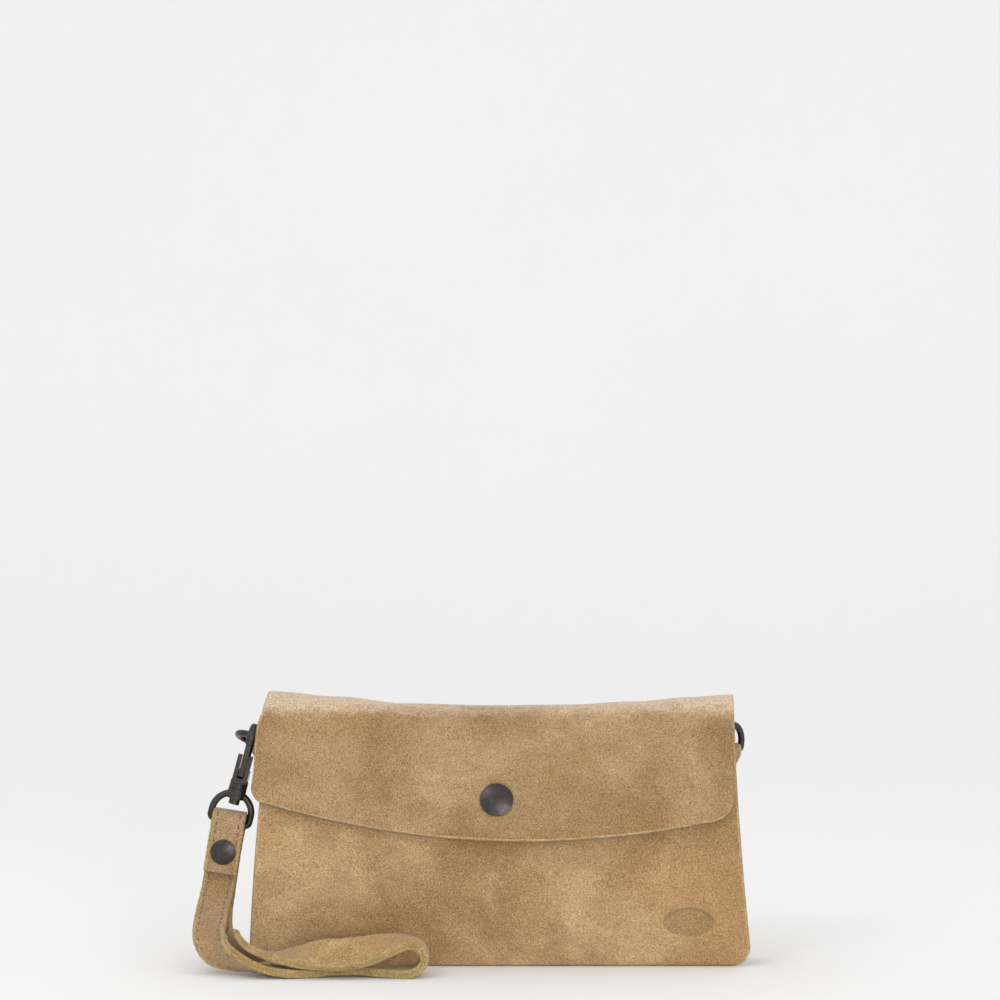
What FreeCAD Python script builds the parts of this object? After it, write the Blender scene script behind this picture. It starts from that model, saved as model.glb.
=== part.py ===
"""Wristlet wallet in suede: a flap pouch with a zipped middle pocket, two D-rings and a wrist strap
on a swivel snap hook. Millimetres, +X right, -Y front, +Z up, origin at the middle of the flat base."""
import FreeCAD, Part
import os
from math import cos, sin, radians

V = FreeCAD.Vector

# ---- driving dimensions ----
HIDE = 2.0                # thickness of the back, fold and flap hide
PANEL = 1.6               # thickness of the front panel and gussets
LINING = 0.6              # thickness of the linings
BASE_HALF = 13.5          # half depth of the flat base
BASE_ROUND = 3.0          # radius of the front bottom edge
LEFT_BASE, LEFT_WAIST, LEFT_TOP = -110.8, -108.4, -103.5    # body outline, left side
RIGHT_BASE, RIGHT_WAIST, RIGHT_TOP = 110.8, 107.0, 104.5    # body outline, right side
WAIST_Z = 48.0            # height of the outline's narrowest stretch
CORNER = 9.0              # radius of the bottom corners, seen from the front
LEAN = V(0, 0.2821, 0.9594)           # up along the sloping upper front
FACE = V(0, -0.9594, 0.2821)           # outward normal of that slope
SLOPE_POINT = V(0, -13.0, 74.0)       # a point of the front panel's outer face on the slope
SLOPE_LOW, SLOPE_TOP = -10.4, 15.6    # the slope's two ends along LEAN
BELLY_Y, BELLY_Z = -17.6, 36.0        # where the front bulges most
FOLD_Y, FOLD_Z = 3.0, 108.5           # axis of the flap's fold
FOLD_IN = 8.4                         # inner radius of the fold
FLAP_GAP = FOLD_IN + (V(0, FOLD_Y, FOLD_Z) - SLOPE_POINT).dot(FACE)    # front panel to flap
FLAP_TOP = (-103.0, 104.0)            # the flap's left and right ends at the fold
FLAP_LEFT, FLAP_RIGHT = -110.0, 103.6
GUSSET_FOLD = {"left": -98.2, "right": 94.5}    # X of each gusset's inner fold
GUSSET_FOLD_Y = 0.5
MOUTH_Z = 94.5            # top of the gussets and linings
WIRE_R = 1.5              # D-ring wire
RING_HALF = 9.0           # D-ring: half width to the wire's centre
RING_SIDE = 3.0           # D-ring: straight side before the arc
RING_BAR = {"left": V(-106.6, 4.5, 97.5), "right": V(102.3, 4.5, 94.0)}   # middle of each ring's bar
RING_YAW = 42.0           # how far the rear half of a gusset turns from the Y direction
RING_LEAN = {"left": 65.0, "right": 8.0}        # how far each ring leans out from upright
TAB_WIDTH = 12.0
TAB_DROP = 19.0
RING_TAB = 1.6            # leather of the ring tabs
HOOK_LEAN = 15.0          # lean of the hook's axis from upright
HOOK_REACH = 24.7         # swivel plane to the ring wire inside the hook
HOOK_WIRE = 1.7
HOOK_ARC_R = 4.85
HOOK_ARC_Z = 23.4
EYE_DROP = 15.4           # swivel plane to the eye's bar
EYE_R = 8.75              # eye: half width to the wire's centre
EYE_WIRE = 1.5
BAND = 3.6                # thickness of the two-layer wrist strap
BAND_WIDTH = 14.0
STRAP_LEAN = 9.0          # lean of the strap's upper part
FOLD_CLEAR = 1.95         # inner radius of the strap's fold round the eye's bar
TAB_LENGTH = 22.5         # bar centre to the end of the snapped tab
ZIP_Y, ZIP_Z = 1.3, 80.0  # middle of the zip in the pocket's mouth
POCKET_HALF = 2.5         # half the gap between the pocket's two walls
POCKET_LEFT, POCKET_RIGHT = -95.0, 91.0
SNAP_Z = -1.0             # flap snap: place along LEAN from SLOPE_POINT
SNAP_X = -1.5
FIT = 0.05                # radial running clearance

os.makedirs("parts", exist_ok=True)


def save(name, *shapes):
    """Writes one node."""
    shape = shapes[0] if len(shapes) == 1 else Part.makeCompound(list(shapes))
    shape.exportStep(f"parts/{name}.step")
    print(name, "valid" if shape.isValid() else "NOT VALID", len(shape.Solids), round(shape.Volume, 1))


def box(x0, x1, y0, y1, z0, z1):
    return Part.makeBox(x1 - x0, y1 - y0, z1 - z0, V(x0, y0, z0))


def rod(radius, start, end):
    return Part.makeCylinder(radius, (end - start).Length, start, end - start)


def line(a, b):
    return Part.LineSegment(a, b).toShape()


def arc(a, b, c):
    return Part.Arc(a, b, c).toShape()


def frame(origin, x_dir, z_dir):
    """Placement that puts local X and Z along two directions at right angles."""
    y_dir = z_dir.cross(x_dir)
    rotation = FreeCAD.Rotation(x_dir, y_dir, z_dir, "ZXY")
    return FreeCAD.Placement(origin, rotation)


def placed(shape, placement):
    copy = shape.copy()
    copy.Placement = placement.multiply(copy.Placement)
    return copy


def along_x(edges, x0, x1):
    """Solid from a closed outline in the YZ plane, run along X."""
    face = Part.Face(Part.Wire(Part.__sortEdges__(edges)))
    face.translate(V(x0, 0, 0))
    return face.extrude(V(x1 - x0, 0, 0))


def along_y(edges, y0=-60.0, y1=60.0):
    """Solid from a closed outline in the XZ plane, run along Y."""
    face = Part.Face(Part.Wire(Part.__sortEdges__(edges)))
    face.translate(V(0, y0, 0))
    return face.extrude(V(0, y1 - y0, 0))


# ---- pouch ----
def front_points(depth):
    """Corners of the front's profile, moved inward by a depth."""
    low = SLOPE_POINT + LEAN * SLOPE_LOW - FACE * depth
    top = SLOPE_POINT + LEAN * SLOPE_TOP - FACE * depth
    heel = V(0, -BASE_HALF + BASE_ROUND, depth)
    toe = V(0, -BASE_HALF + depth, BASE_ROUND)
    reach = (BASE_ROUND - depth) * cos(radians(45))
    bend = V(0, -BASE_HALF + BASE_ROUND - reach, BASE_ROUND - reach)
    return heel, bend, toe, V(0, BELLY_Y + depth, BELLY_Z), low, top


def front_edges(depth):
    heel, bend, toe, belly, low, top = front_points(depth)
    return [arc(heel, bend, toe), arc(toe, belly, low), line(low, top)]


def front_skin(outer, inner, rear_y, x0=-115.0, x1=115.0):
    """Sheet between two depths of the front profile, carried under the base to rear_y."""
    a, b = front_points(outer), front_points(inner)
    rear_low, rear_high = V(0, rear_y, outer), V(0, rear_y, inner)
    edges = front_edges(outer) + front_edges(inner)
    edges += [line(a[0], rear_low), line(rear_low, rear_high), line(rear_high, b[0]), line(a[5], b[5])]
    return along_x(edges, x0, x1)


def body_outline():
    """The pouch seen from the front."""
    left_top, right_top = V(LEFT_TOP, 0, FOLD_Z), V(RIGHT_TOP, 0, FOLD_Z)
    left_foot, right_foot = V(LEFT_BASE, 0, CORNER), V(RIGHT_BASE, 0, CORNER)
    reach = CORNER * (1 - cos(radians(45)))
    left_heel, right_heel = V(LEFT_BASE + CORNER, 0, 0), V(RIGHT_BASE - CORNER, 0, 0)
    return along_y([
        line(left_top, right_top),
        arc(right_top, V(RIGHT_WAIST, 0, WAIST_Z), right_foot),
        arc(right_foot, V(RIGHT_BASE - reach, 0, reach), right_heel),
        line(right_heel, left_heel),
        arc(left_heel, V(LEFT_BASE + reach, 0, reach), left_foot),
        arc(left_foot, V(LEFT_WAIST, 0, WAIST_Z), left_top)])


BACK_OUT = FOLD_Y + FOLD_IN + HIDE
BACK_IN = BACK_OUT - HIDE
BODY = body_outline()
back_panel = box(-115, 115, BACK_IN, BACK_OUT, 0, FOLD_Z).common(BODY)
front_panel = front_skin(0, PANEL, BACK_IN).common(BODY)
INSIDE_LEFT, INSIDE_RIGHT = POCKET_LEFT - 1, POCKET_RIGHT + 1
LINING_IN = PANEL + LINING
front_lining = front_skin(PANEL, LINING_IN, BACK_IN - LINING, INSIDE_LEFT, INSIDE_RIGHT)
front_lining = front_lining.common(box(-115, 115, -30, BACK_IN, 0, MOUTH_Z))
back_lining = box(INSIDE_LEFT, INSIDE_RIGHT, BACK_IN - LINING, BACK_IN, PANEL, MOUTH_Z)


def snap_frame(depth_x, depth_along):
    return frame(SLOPE_POINT + V(depth_x, 0, 0) + LEAN * depth_along, V(1, 0, 0), FACE)


SNAP = snap_frame(SNAP_X, SNAP_Z)


def post_hole(radius, low, high):
    return placed(rod(radius, V(0, 0, low), V(0, 0, high)), SNAP)


front_panel = front_panel.cut(post_hole(1.75, -4, 1))
front_lining = front_lining.cut(post_hole(1.75, -4, 1))


def inner_edge_y(z):
    """Y of the front panel's inner face at a height, on the slope or the belly."""
    low = SLOPE_POINT + LEAN * SLOPE_LOW
    if z >= low.z:
        return SLOPE_POINT.y + (z - SLOPE_POINT.z) * LEAN.y / LEAN.z + PANEL / LEAN.z
    bulge = 1 - ((z - BELLY_Z) / (low.z - BELLY_Z)) ** 2
    return low.y + (BELLY_Y - low.y) * bulge + PANEL


def gusset(side):
    """A side panel folded inward, lofted from the base to the top and trimmed to the inside."""
    sign = -1 if side == "left" else 1
    fold_x = GUSSET_FOLD[side]
    rims = {"left": (LEFT_BASE, LEFT_WAIST, LEFT_TOP), "right": (RIGHT_BASE, RIGHT_WAIST, RIGHT_TOP)}[side]
    wires = []
    for z, rim in zip((PANEL, WAIST_Z, MOUTH_Z), rims):
        rim_x = rim - sign * 1.5
        front_y, rear_y = inner_edge_y(z) - 1.5, BACK_IN + 1.5
        skin = sign * PANEL * 1.3
        points = [V(rim_x, front_y, z), V(fold_x, GUSSET_FOLD_Y, z), V(rim_x, rear_y, z),
                  V(rim_x - skin, rear_y, z), V(fold_x - skin, GUSSET_FOLD_Y, z), V(rim_x - skin, front_y, z)]
        wires.append(Part.makePolygon(points + [points[0]]))
    shape = Part.makeLoft(wires, True, True)
    edges = front_edges(PANEL)
    heel, top = front_points(PANEL)[0], front_points(PANEL)[5]
    low_rear, high_rear = V(0, BACK_IN, PANEL), V(0, BACK_IN, top.z)
    edges += [line(heel, low_rear), line(low_rear, high_rear), line(high_rear, top)]
    hollow = along_x(edges, -115, 115)
    return shape.common(hollow).common(BODY)


gussets = {side: gusset(side) for side in ("left", "right")}

pocket_low = PANEL + LINING
pocket_top = ZIP_Z + 1.5
pocket_wall_front = box(POCKET_LEFT, POCKET_RIGHT, ZIP_Y - POCKET_HALF - 0.8, ZIP_Y - POCKET_HALF,
                        pocket_low, pocket_top)
pocket_wall_rear = box(POCKET_LEFT, POCKET_RIGHT, ZIP_Y + POCKET_HALF, ZIP_Y + POCKET_HALF + 0.8,
                       pocket_low, pocket_top)
card_y = BACK_IN - LINING
card_slot_rear = box(-88, 84, card_y - 0.9, card_y - 0.1, pocket_low, 74)
card_slot_front = box(-88, 84, card_y - 1.8, card_y - 1.0, pocket_low, 62)


def zip_strip(y0, y1, half_height, x0=POCKET_LEFT + 1, x1=POCKET_RIGHT - 1):
    return box(x0, x1, y0, y1, ZIP_Z - half_height, ZIP_Z + half_height)


def zip_slider(x):
    """Two plates on a post between the coils, with two ears and a pin for the pull."""
    plates = [box(x - 4.5, x + 4.5, ZIP_Y - 2.2, ZIP_Y + 2.2, ZIP_Z + low, ZIP_Z + low + 1)
              for low in (1.1, -2.1)]
    post = box(x + 2.0, x + 4.2, ZIP_Y - 0.3, ZIP_Y + 0.3, ZIP_Z - 1.2, ZIP_Z + 1.2)
    ears = [box(x - 1.2, x + 1.2, ZIP_Y + y, ZIP_Y + y + 0.8, ZIP_Z + 2.0, ZIP_Z + 5) for y in (-1.9, 1.1)]
    pin = rod(0.7, V(x, ZIP_Y - 1.9, ZIP_Z + 3.9), V(x, ZIP_Y + 1.9, ZIP_Z + 3.9))
    return plates[0].multiFuse([plates[1], post, ears[0], ears[1], pin]).removeSplitter()


def zip_pull(x):
    """Flat pull with an eye round the slider's pin, lying towards the left."""
    z = ZIP_Z + 3.9
    eye = rod(1.5, V(x, ZIP_Y - 1.0, z), V(x, ZIP_Y + 1.0, z))
    stem = box(x - 6, x - 1, ZIP_Y - 1.0, ZIP_Y + 1.0, z - 0.6, z + 0.6)
    plate = box(x - 20, x - 5, ZIP_Y - 2.2, ZIP_Y + 2.2, z - 0.6, z + 0.6)
    hole = rod(1.2, V(x - 17.5, ZIP_Y, z - 1), V(x - 17.5, ZIP_Y, z + 1))
    bore = rod(0.7 + FIT, V(x, ZIP_Y - 2, z), V(x, ZIP_Y + 2, z))
    return eye.multiFuse([stem, plate]).cut(hole).cut(bore).removeSplitter()


ZIP_CLOSED_X = POCKET_RIGHT - 9.0
stops = [box(x, x + 1.5, ZIP_Y - 1.5, ZIP_Y + 1.5, ZIP_Z - 0.8, ZIP_Z + 0.8)
         for x in (POCKET_LEFT + 1, POCKET_RIGHT - 2.5)]
coil_left, coil_right = POCKET_LEFT + 2.6, POCKET_RIGHT - 2.6

save("back_panel", back_panel)
save("front_panel", front_panel)
save("gusset_left", gussets["left"])
save("gusset_right", gussets["right"])
save("front_lining", front_lining)
save("back_lining", back_lining)
save("pocket_wall_front", pocket_wall_front)
save("pocket_wall_rear", pocket_wall_rear)
save("card_slot_rear", card_slot_rear)
save("card_slot_front", card_slot_front)
save("zip_tape_front", zip_strip(ZIP_Y - POCKET_HALF, ZIP_Y - 1.5, 0.3))
save("zip_tape_rear", zip_strip(ZIP_Y + 1.5, ZIP_Y + POCKET_HALF, 0.3))
save("zip_coil_front", zip_strip(ZIP_Y - 1.5, ZIP_Y - 0.6, 0.7, coil_left, coil_right))
save("zip_coil_rear", zip_strip(ZIP_Y + 0.6, ZIP_Y + 1.5, 0.7, coil_left, coil_right))
save("zip_end_stops", *stops)
save("zip_slider", zip_slider(ZIP_CLOSED_X))
save("zip_pull", zip_pull(ZIP_CLOSED_X))

# ---- flap and its fold ----
axis_point = V(0, FOLD_Y, FOLD_Z)


def fold_point(radius, direction):
    return axis_point + direction * radius


def flap_fold():
    """The bend of the hide from the back panel, over the top, to the flap."""
    mid_dir = V(0, -0.142, 0.99)
    edges = []
    for radius in (FOLD_IN, FOLD_IN + HIDE):
        rear, top, front = (fold_point(radius, direction) for direction in (V(0, 1, 0), mid_dir, FACE))
        edges.append(arc(rear, top, front))
    for direction in (V(0, 1, 0), FACE):
        edges.append(line(fold_point(FOLD_IN, direction), fold_point(FOLD_IN + HIDE, direction)))
    return along_x(edges, *FLAP_TOP)


def flap():
    """Flat hide that hangs from the fold, cut to its curved lower edge."""
    slab_top_in, slab_top_out = fold_point(FOLD_IN, FACE), fold_point(FOLD_IN + HIDE, FACE)
    drop = LEAN * -60.0
    edges = [line(slab_top_in, slab_top_out), line(slab_top_out, slab_top_out + drop),
             line(slab_top_out + drop, slab_top_in + drop), line(slab_top_in + drop, slab_top_in)]
    slab = along_x(edges, -115, 115)
    top_z = 130.0
    left_corner, left_low = V(FLAP_LEFT, 0, 80), V(-104.0, 0, 73.2)
    right_corner, right_low = V(FLAP_RIGHT, 0, 77), V(90.0, 0, 64.6)
    outline = along_y([
        line(V(FLAP_TOP[0], 0, top_z), V(FLAP_TOP[1], 0, top_z)),
        line(V(FLAP_TOP[1], 0, top_z), V(FLAP_TOP[1], 0, 111)),
        line(V(FLAP_TOP[1], 0, 111), right_corner),
        arc(right_corner, V(100.8, 0, 69.3), right_low),
        arc(right_low, V(11, 0, 56.8), left_low),
        arc(left_low, V(-108.4, 0, 75.4), left_corner),
        arc(left_corner, V(-107.7, 0, 98), V(FLAP_TOP[0], 0, 111)),
        line(V(FLAP_TOP[0], 0, 111), V(FLAP_TOP[0], 0, top_z))])
    return slab.common(outline).cut(post_hole(1.85, 0, 8))


def domed_cap(radius, low, rim, height):
    """Snap cap: a short rim under a shallow dome, along +Z."""
    disc = rod(radius, V(0, 0, low), V(0, 0, low + rim))
    ball_r = (radius ** 2 + (height - rim) ** 2) / (2 * (height - rim))
    ball = Part.makeSphere(ball_r, V(0, 0, low + height - ball_r))
    dome = ball.common(rod(radius, V(0, 0, low + rim), V(0, 0, low + height + 1)))
    return disc.fuse(dome).removeSplitter()


flap_out = FLAP_GAP + HIDE
snap_cap = domed_cap(7.3, flap_out, 1.0, 2.1).fuse(rod(1.8, V(0, 0, FLAP_GAP), V(0, 0, flap_out)))
socket = rod(5.4, V(0, 0, 1.0), V(0, 0, FLAP_GAP)).cut(rod(2.8, V(0, 0, 0), V(0, 0, FLAP_GAP)))
stud = rod(5.2, V(0, 0, 0), V(0, 0, 0.7)).fuse(rod(2.4, V(0, 0, 0), V(0, 0, 2.4)))
post = rod(5.0, V(0, 0, -3.0), V(0, 0, -2.25)).fuse(rod(1.7, V(0, 0, -3.0), V(0, 0, 0)))
save("flap_fold", flap_fold())
save("flap", flap())
save("snap_cap", placed(snap_cap.removeSplitter(), SNAP))
save("snap_socket", placed(socket, SNAP))
save("snap_stud", placed(stud.removeSplitter(), SNAP))
save("snap_post", placed(post.removeSplitter(), SNAP))


# ---- D-rings and their tabs ----
def ring_frame(side, lean):
    """Local X along the ring's bar, local Z up the ring, at the bar's middle."""
    sign = -1 if side == "left" else 1
    yaw, tilt = radians(RING_YAW), radians(lean)
    bar_dir = V(sign * sin(yaw), cos(yaw), 0)
    out_dir = V(sign * cos(yaw), -sin(yaw), 0)
    up_dir = V(0, 0, 1) * cos(tilt) + out_dir * sin(tilt)
    return frame(RING_BAR[side], bar_dir, up_dir)


def closed_sweep(edges, radius, start, direction):
    profile = Part.Wire([Part.makeCircle(radius, start, direction)])
    path = Part.Wire(Part.__sortEdges__(edges))
    return path.makePipeShell([profile], True, False)


def d_ring(side):
    """Straight bar with rounded corners, short sides and a round top."""
    r, side_z, corner = RING_HALF, RING_SIDE, 1.8
    k = corner * (1 - cos(radians(45)))
    low = r - corner
    edges = [line(V(0, 0, 0), V(low, 0, 0)),
             arc(V(low, 0, 0), V(r - k, 0, k), V(r, 0, corner)),
             line(V(r, 0, corner), V(r, 0, side_z)),
             arc(V(r, 0, side_z), V(0, 0, side_z + r), V(-r, 0, side_z)),
             line(V(-r, 0, side_z), V(-r, 0, corner)),
             arc(V(-r, 0, corner), V(-r + k, 0, k), V(-low, 0, 0)),
             line(V(-low, 0, 0), V(0, 0, 0))]
    return placed(closed_sweep(edges, WIRE_R, V(0, 0, 0), V(1, 0, 0)), ring_frame(side, RING_LEAN[side]))


def ring_tab(side):
    """Leather folded round the ring's bar, leaning in to its sewn foot on the gusset."""
    hole_r = WIRE_R + FIT
    outer_r = hole_r + RING_TAB
    half = TAB_WIDTH / 2
    inward = -1 if side == "left" else 1    # local Y that points at the gusset
    outline = [(-outer_r, 0), (outer_r, 0), (outer_r + 1.2, -8.8), (outer_r + 6, -9.8),
               (outer_r + 6, -TAB_DROP), (outer_r - 0.2, -TAB_DROP), (-outer_r, -2)]
    points = [V(0, inward * y, z) for y, z in outline]
    leg = along_x([line(a, b) for a, b in zip(points, points[1:] + points[:1])], -half, half)
    eye = rod(outer_r, V(-half, 0, 0), V(half, 0, 0))
    tab = eye.fuse(leg).cut(rod(hole_r, V(-half - 1, 0, 0), V(half + 1, 0, 0)))
    pouch_side = [gussets[side], box(-130, 130, BACK_IN, 30, 0, 130)]
    tab = placed(tab, ring_frame(side, 0)).cut(pouch_side).removeSplitter()
    return max(tab.Solids, key=lambda solid: solid.Volume)


for ring_side in ("left", "right"):
    save(f"{ring_side}_d_ring", d_ring(ring_side))
    save(f"ring_tab_{ring_side}", ring_tab(ring_side))

# ---- swivel hook ----
lean = radians(HOOK_LEAN)
HOOK_UP = V(sin(lean), 0, cos(lean))
HOOK_ACROSS = V(cos(lean), 0, -sin(lean))
RING_POINT = RING_BAR["left"] + V(-3.7, -9.9, 4.6)     # where the hook holds the ring's wire
SWIVEL_POINT = RING_POINT - HOOK_UP * HOOK_REACH
HOOK = frame(SWIVEL_POINT, HOOK_ACROSS, HOOK_UP)       # local +Y is the shank side, away from the gate
PIN_Y, PIN_Z = -4.1, 8.5


def hook_body():
    """Collar, slotted block with two rails, and the bent shank down to the nose."""
    collar = rod(4.0, V(0, 0, 0), V(0, 0, 3.2)).fuse(Part.makeCone(4.0, 3.2, 1.4, V(0, 0, 3.2)))
    block = box(-3.3, 3.3, -5.6, 6.6, 3.0, 8.0)
    rails = [box(x, x + 1.8, -5.6, -2.2, 4.5, 15.5) for x in (-3.3, 1.5)]
    slot = box(-1.5, 1.5, -7, 2.6, 5.0, 20)
    y = HOOK_ARC_R - 0.1
    bottom, top = V(0, y, 6), V(0, y, HOOK_ARC_Z)
    far, nose = V(0, -y, HOOK_ARC_Z), V(0, -y, 20.6)
    path = Part.Wire([line(bottom, top), arc(top, V(0, 0, HOOK_ARC_Z + y), far), line(far, nose)])
    wire = path.makePipeShell([Part.Wire([Part.makeCircle(HOOK_WIRE, bottom, V(0, 0, 1))])], True, False)
    shape = collar.multiFuse([block] + rails).cut(slot).fuse(wire)
    bore = rod(0.6, V(-5, PIN_Y, PIN_Z), V(5, PIN_Y, PIN_Z))
    well = rod(1.6, V(0, 0, -1), V(0, 0, 2.0))
    return shape.cut(bore).cut(well).removeSplitter()


def hook_gate():
    """Flat lever on the pin; its tip meets the nose."""
    lever = box(-1.15, 1.15, -5.4, -3.4, 6.0, 20.4)
    knuckle = rod(1.3, V(-1.15, PIN_Y, PIN_Z), V(1.15, PIN_Y, PIN_Z))
    bore = rod(0.6 + FIT, V(-3, PIN_Y, PIN_Z), V(3, PIN_Y, PIN_Z))
    return lever.fuse(knuckle).cut(bore).removeSplitter()


def swivel_eye():
    """Round-topped loop with a straight bar for the strap, and a bored boss for the swivel pin."""
    top_z, side_z, bar_z, corner = -2.3, -13.6, -EYE_DROP, 1.8
    k = corner * (1 - cos(radians(45)))
    r, low = EYE_R, EYE_R - corner
    centre_z = top_z - r
    edges = [line(V(0, 0, bar_z), V(low, 0, bar_z)),
             arc(V(low, 0, bar_z), V(r - k, 0, bar_z + k), V(r, 0, side_z)),
             line(V(r, 0, side_z), V(r, 0, centre_z)),
             arc(V(r, 0, centre_z), V(0, 0, top_z), V(-r, 0, centre_z)),
             line(V(-r, 0, centre_z), V(-r, 0, side_z)),
             arc(V(-r, 0, side_z), V(-r + k, 0, bar_z + k), V(-low, 0, bar_z)),
             line(V(-low, 0, bar_z), V(0, 0, bar_z))]
    loop = closed_sweep(edges, EYE_WIRE, V(0, 0, bar_z), V(1, 0, 0))
    boss = rod(4.1, V(0, 0, -4.6), V(0, 0, -0.2))
    bore = rod(1.6 + FIT, V(0, 0, -9), V(0, 0, 1))
    return loop.fuse(boss).cut(bore).removeSplitter()


rivet = rod(1.6, V(0, 0, -7.2), V(0, 0, 2.0)).fuse(rod(2.4, V(0, 0, -7.2), V(0, 0, -4.8)))
spring_edges = [line(V(0, 1.0, 5.0), V(0, -3.1, 13.0)), line(V(0, -3.1, 13.0), V(0, -3.1, 13.6)),
                line(V(0, -3.1, 13.6), V(0, 1.5, 5.0)), line(V(0, 1.5, 5.0), V(0, 1.0, 5.0))]
save("hook_body", placed(hook_body(), HOOK))
save("hook_gate", placed(hook_gate(), HOOK))
save("gate_pin", placed(rod(0.6, V(-3.3, PIN_Y, PIN_Z), V(3.3, PIN_Y, PIN_Z)), HOOK))
save("gate_spring", placed(along_x(spring_edges, -0.8, 0.8), HOOK))
save("swivel_rivet", placed(rivet.removeSplitter(), HOOK))
save("swivel_eye", placed(swivel_eye(), HOOK))

# ---- wrist strap ----
EYE_BAR = SWIVEL_POINT - HOOK_UP * EYE_DROP
slope = radians(STRAP_LEAN)
STRAP_DOWN = V(-sin(slope), 0, -cos(slope))
STRAP_ACROSS = V(cos(slope), 0, -sin(slope))
STRAP = frame(EYE_BAR, STRAP_ACROSS, STRAP_DOWN * -1)  # local -Y is the front, local Z up the strap
LEG = FOLD_CLEAR + BAND / 2                            # bar centre to the middle of each outer leg
half_w = BAND_WIDTH / 2


def strap_fold():
    """The strap's end bent over the eye's bar, with a short leg behind."""
    ring = rod(FOLD_CLEAR + BAND, V(-half_w, 0, 0), V(half_w, 0, 0))
    ring = ring.cut(box(-9, 9, -9, 9, -9, 0)).cut(box(-9, 9, -9, 0, 0, 3.4))
    ring = placed(ring, frame(EYE_BAR, HOOK_ACROSS, HOOK_UP))
    leg = placed(box(-half_w, half_w, LEG - BAND / 2, LEG + BAND / 2, -6, 0.6), STRAP)
    bar_room = rod(FOLD_CLEAR, EYE_BAR - HOOK_ACROSS * 9, EYE_BAR + HOOK_ACROSS * 9)
    return ring.fuse(leg).cut(bar_room).removeSplitter()


def strap_tab():
    """The snapped end: a flat leg with a rounded root where it bends."""
    leg = box(-half_w, half_w, -LEG - BAND / 2, -LEG + BAND / 2, -TAB_LENGTH, 0)
    root = rod(BAND / 2, V(-half_w, -LEG, 0), V(half_w, -LEG, 0))
    hole = rod(1.85, V(0, 0, TAB_SNAP_Z), V(0, -12, TAB_SNAP_Z))
    seat = rod(5.1, V(0, 0, TAB_SNAP_Z), V(0, -FOLD_CLEAR - 1.7, TAB_SNAP_Z))
    return leg.fuse(root).cut(hole).cut(seat).removeSplitter()


TAB_SNAP_Z = -13.0
tab_face = frame(V(0, 0, TAB_SNAP_Z), V(1, 0, 0), V(0, -1, 0))
TAB_SNAP = STRAP.multiply(tab_face)                    # local Z out of the tab's front
band_half = BAND / 2
tab_in, tab_out = FOLD_CLEAR, FOLD_CLEAR + BAND
tab_cap = domed_cap(5.6, tab_out, 0.9, 1.9).fuse(rod(1.8, V(0, 0, tab_in + 1.6), V(0, 0, tab_out)))
tab_socket = rod(5.0, V(0, 0, tab_in + 0.1), V(0, 0, tab_in + 1.6))
tab_socket = tab_socket.cut(rod(2.3, V(0, 0, tab_in), V(0, 0, tab_in + 1.2)))
strap_stud = rod(4.8, V(0, 0, 0.9), V(0, 0, 1.6)).fuse(rod(1.8, V(0, 0, 0.9), V(0, 0, 2.6)))
strap_post = rod(4.8, V(0, 0, -1.6), V(0, 0, -0.9)).fuse(rod(1.5, V(0, 0, -1.6), V(0, 0, 0.9)))

# Stations of the wrist loop from the snap, down the front, round on the floor and up behind:
# centre of the strap, and the direction of its width towards the edge that ends in front.
front_top = EYE_BAR + STRAP_DOWN * 2.6
front_mid = EYE_BAR + STRAP_DOWN * 24
rear_mid = front_mid + V(0, LEG, 0)
rear_top = EYE_BAR + STRAP_DOWN * 6.3 + V(0, LEG, 0)
side_w = STRAP_ACROSS
STATIONS = [
    (front_top, side_w), (front_mid, side_w),
    (V(-125.6, -8.2, 32.3), V(1, 0, 0)), (V(-126.8, -14.2, 26.0), V(1, 0, 0)),
    (V(-127.4, -21.2, 20.8), V(1, 0, 0)), (V(-127.2, -28.4, 16.6), V(0.97, -0.1, 0.2)),
    (V(-124.6, -34.6, 12.4), V(0.88, -0.35, 0.3)), (V(-118.8, -38.4, 8.6), V(0.6, -0.7, 0.38)),
    (V(-110.0, -39.8, 5.4), V(0.25, -0.92, 0.3)), (V(-99.5, -39.6, 2.9), V(0.05, -1, 0.1)),
    (V(-86.0, -37.6, 2.0), V(0, -1, 0)), (V(-73.0, -34.6, 2.6), V(0, -1, 0)),
    (V(-60.0, -34.4, 2.7), V(0, -1, 0)), (V(-48.5, -37.0, 2.1), V(0, -1, 0)),
    (V(-39.8, -38.5, 2.0), V(0, -1, 0)), (V(-34.8, -38.5, 4.0), V(0, -1, 0)),
    (V(-32.6, -38.5, 8.5), V(0, -1, 0)), (V(-34.8, -38.5, 13.0), V(0, -1, 0)),
    (V(-40.5, -38.9, 15.0), V(0, -1, -0.08)), (V(-49.0, -40.6, 14.0), V(0, -0.9, -0.4)),
    (V(-58.0, -42.6, 11.8), V(0, -0.74, -0.68)), (V(-68.0, -43.4, 10.4), V(0, -0.64, -0.78)),
    (V(-78.0, -42.4, 10.0), V(0, -0.72, -0.68)), (V(-88.0, -40.2, 9.0), V(0, -0.93, -0.3)),
    (V(-97.5, -38.2, 8.9), V(0, -1, 0.05)), (V(-105.4, -35.4, 9.6), V(0.1, -0.95, 0.3)),
    (V(-112.4, -31.2, 10.4), V(0.45, -0.75, 0.5)), (V(-118.4, -26.6, 11.8), V(0.78, -0.4, 0.45)),
    (V(-123.2, -22.2, 13.0), V(0.95, -0.15, 0.2)), (V(-125.4, -15.6, 18.2), V(1, 0, 0)),
    (V(-126.0, -9.0, 24.4), V(1, 0, 0)), (V(-125.4, -3.6, 31.6), V(1, 0, 0)),
    (rear_mid, side_w), (rear_top, side_w)]


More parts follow.
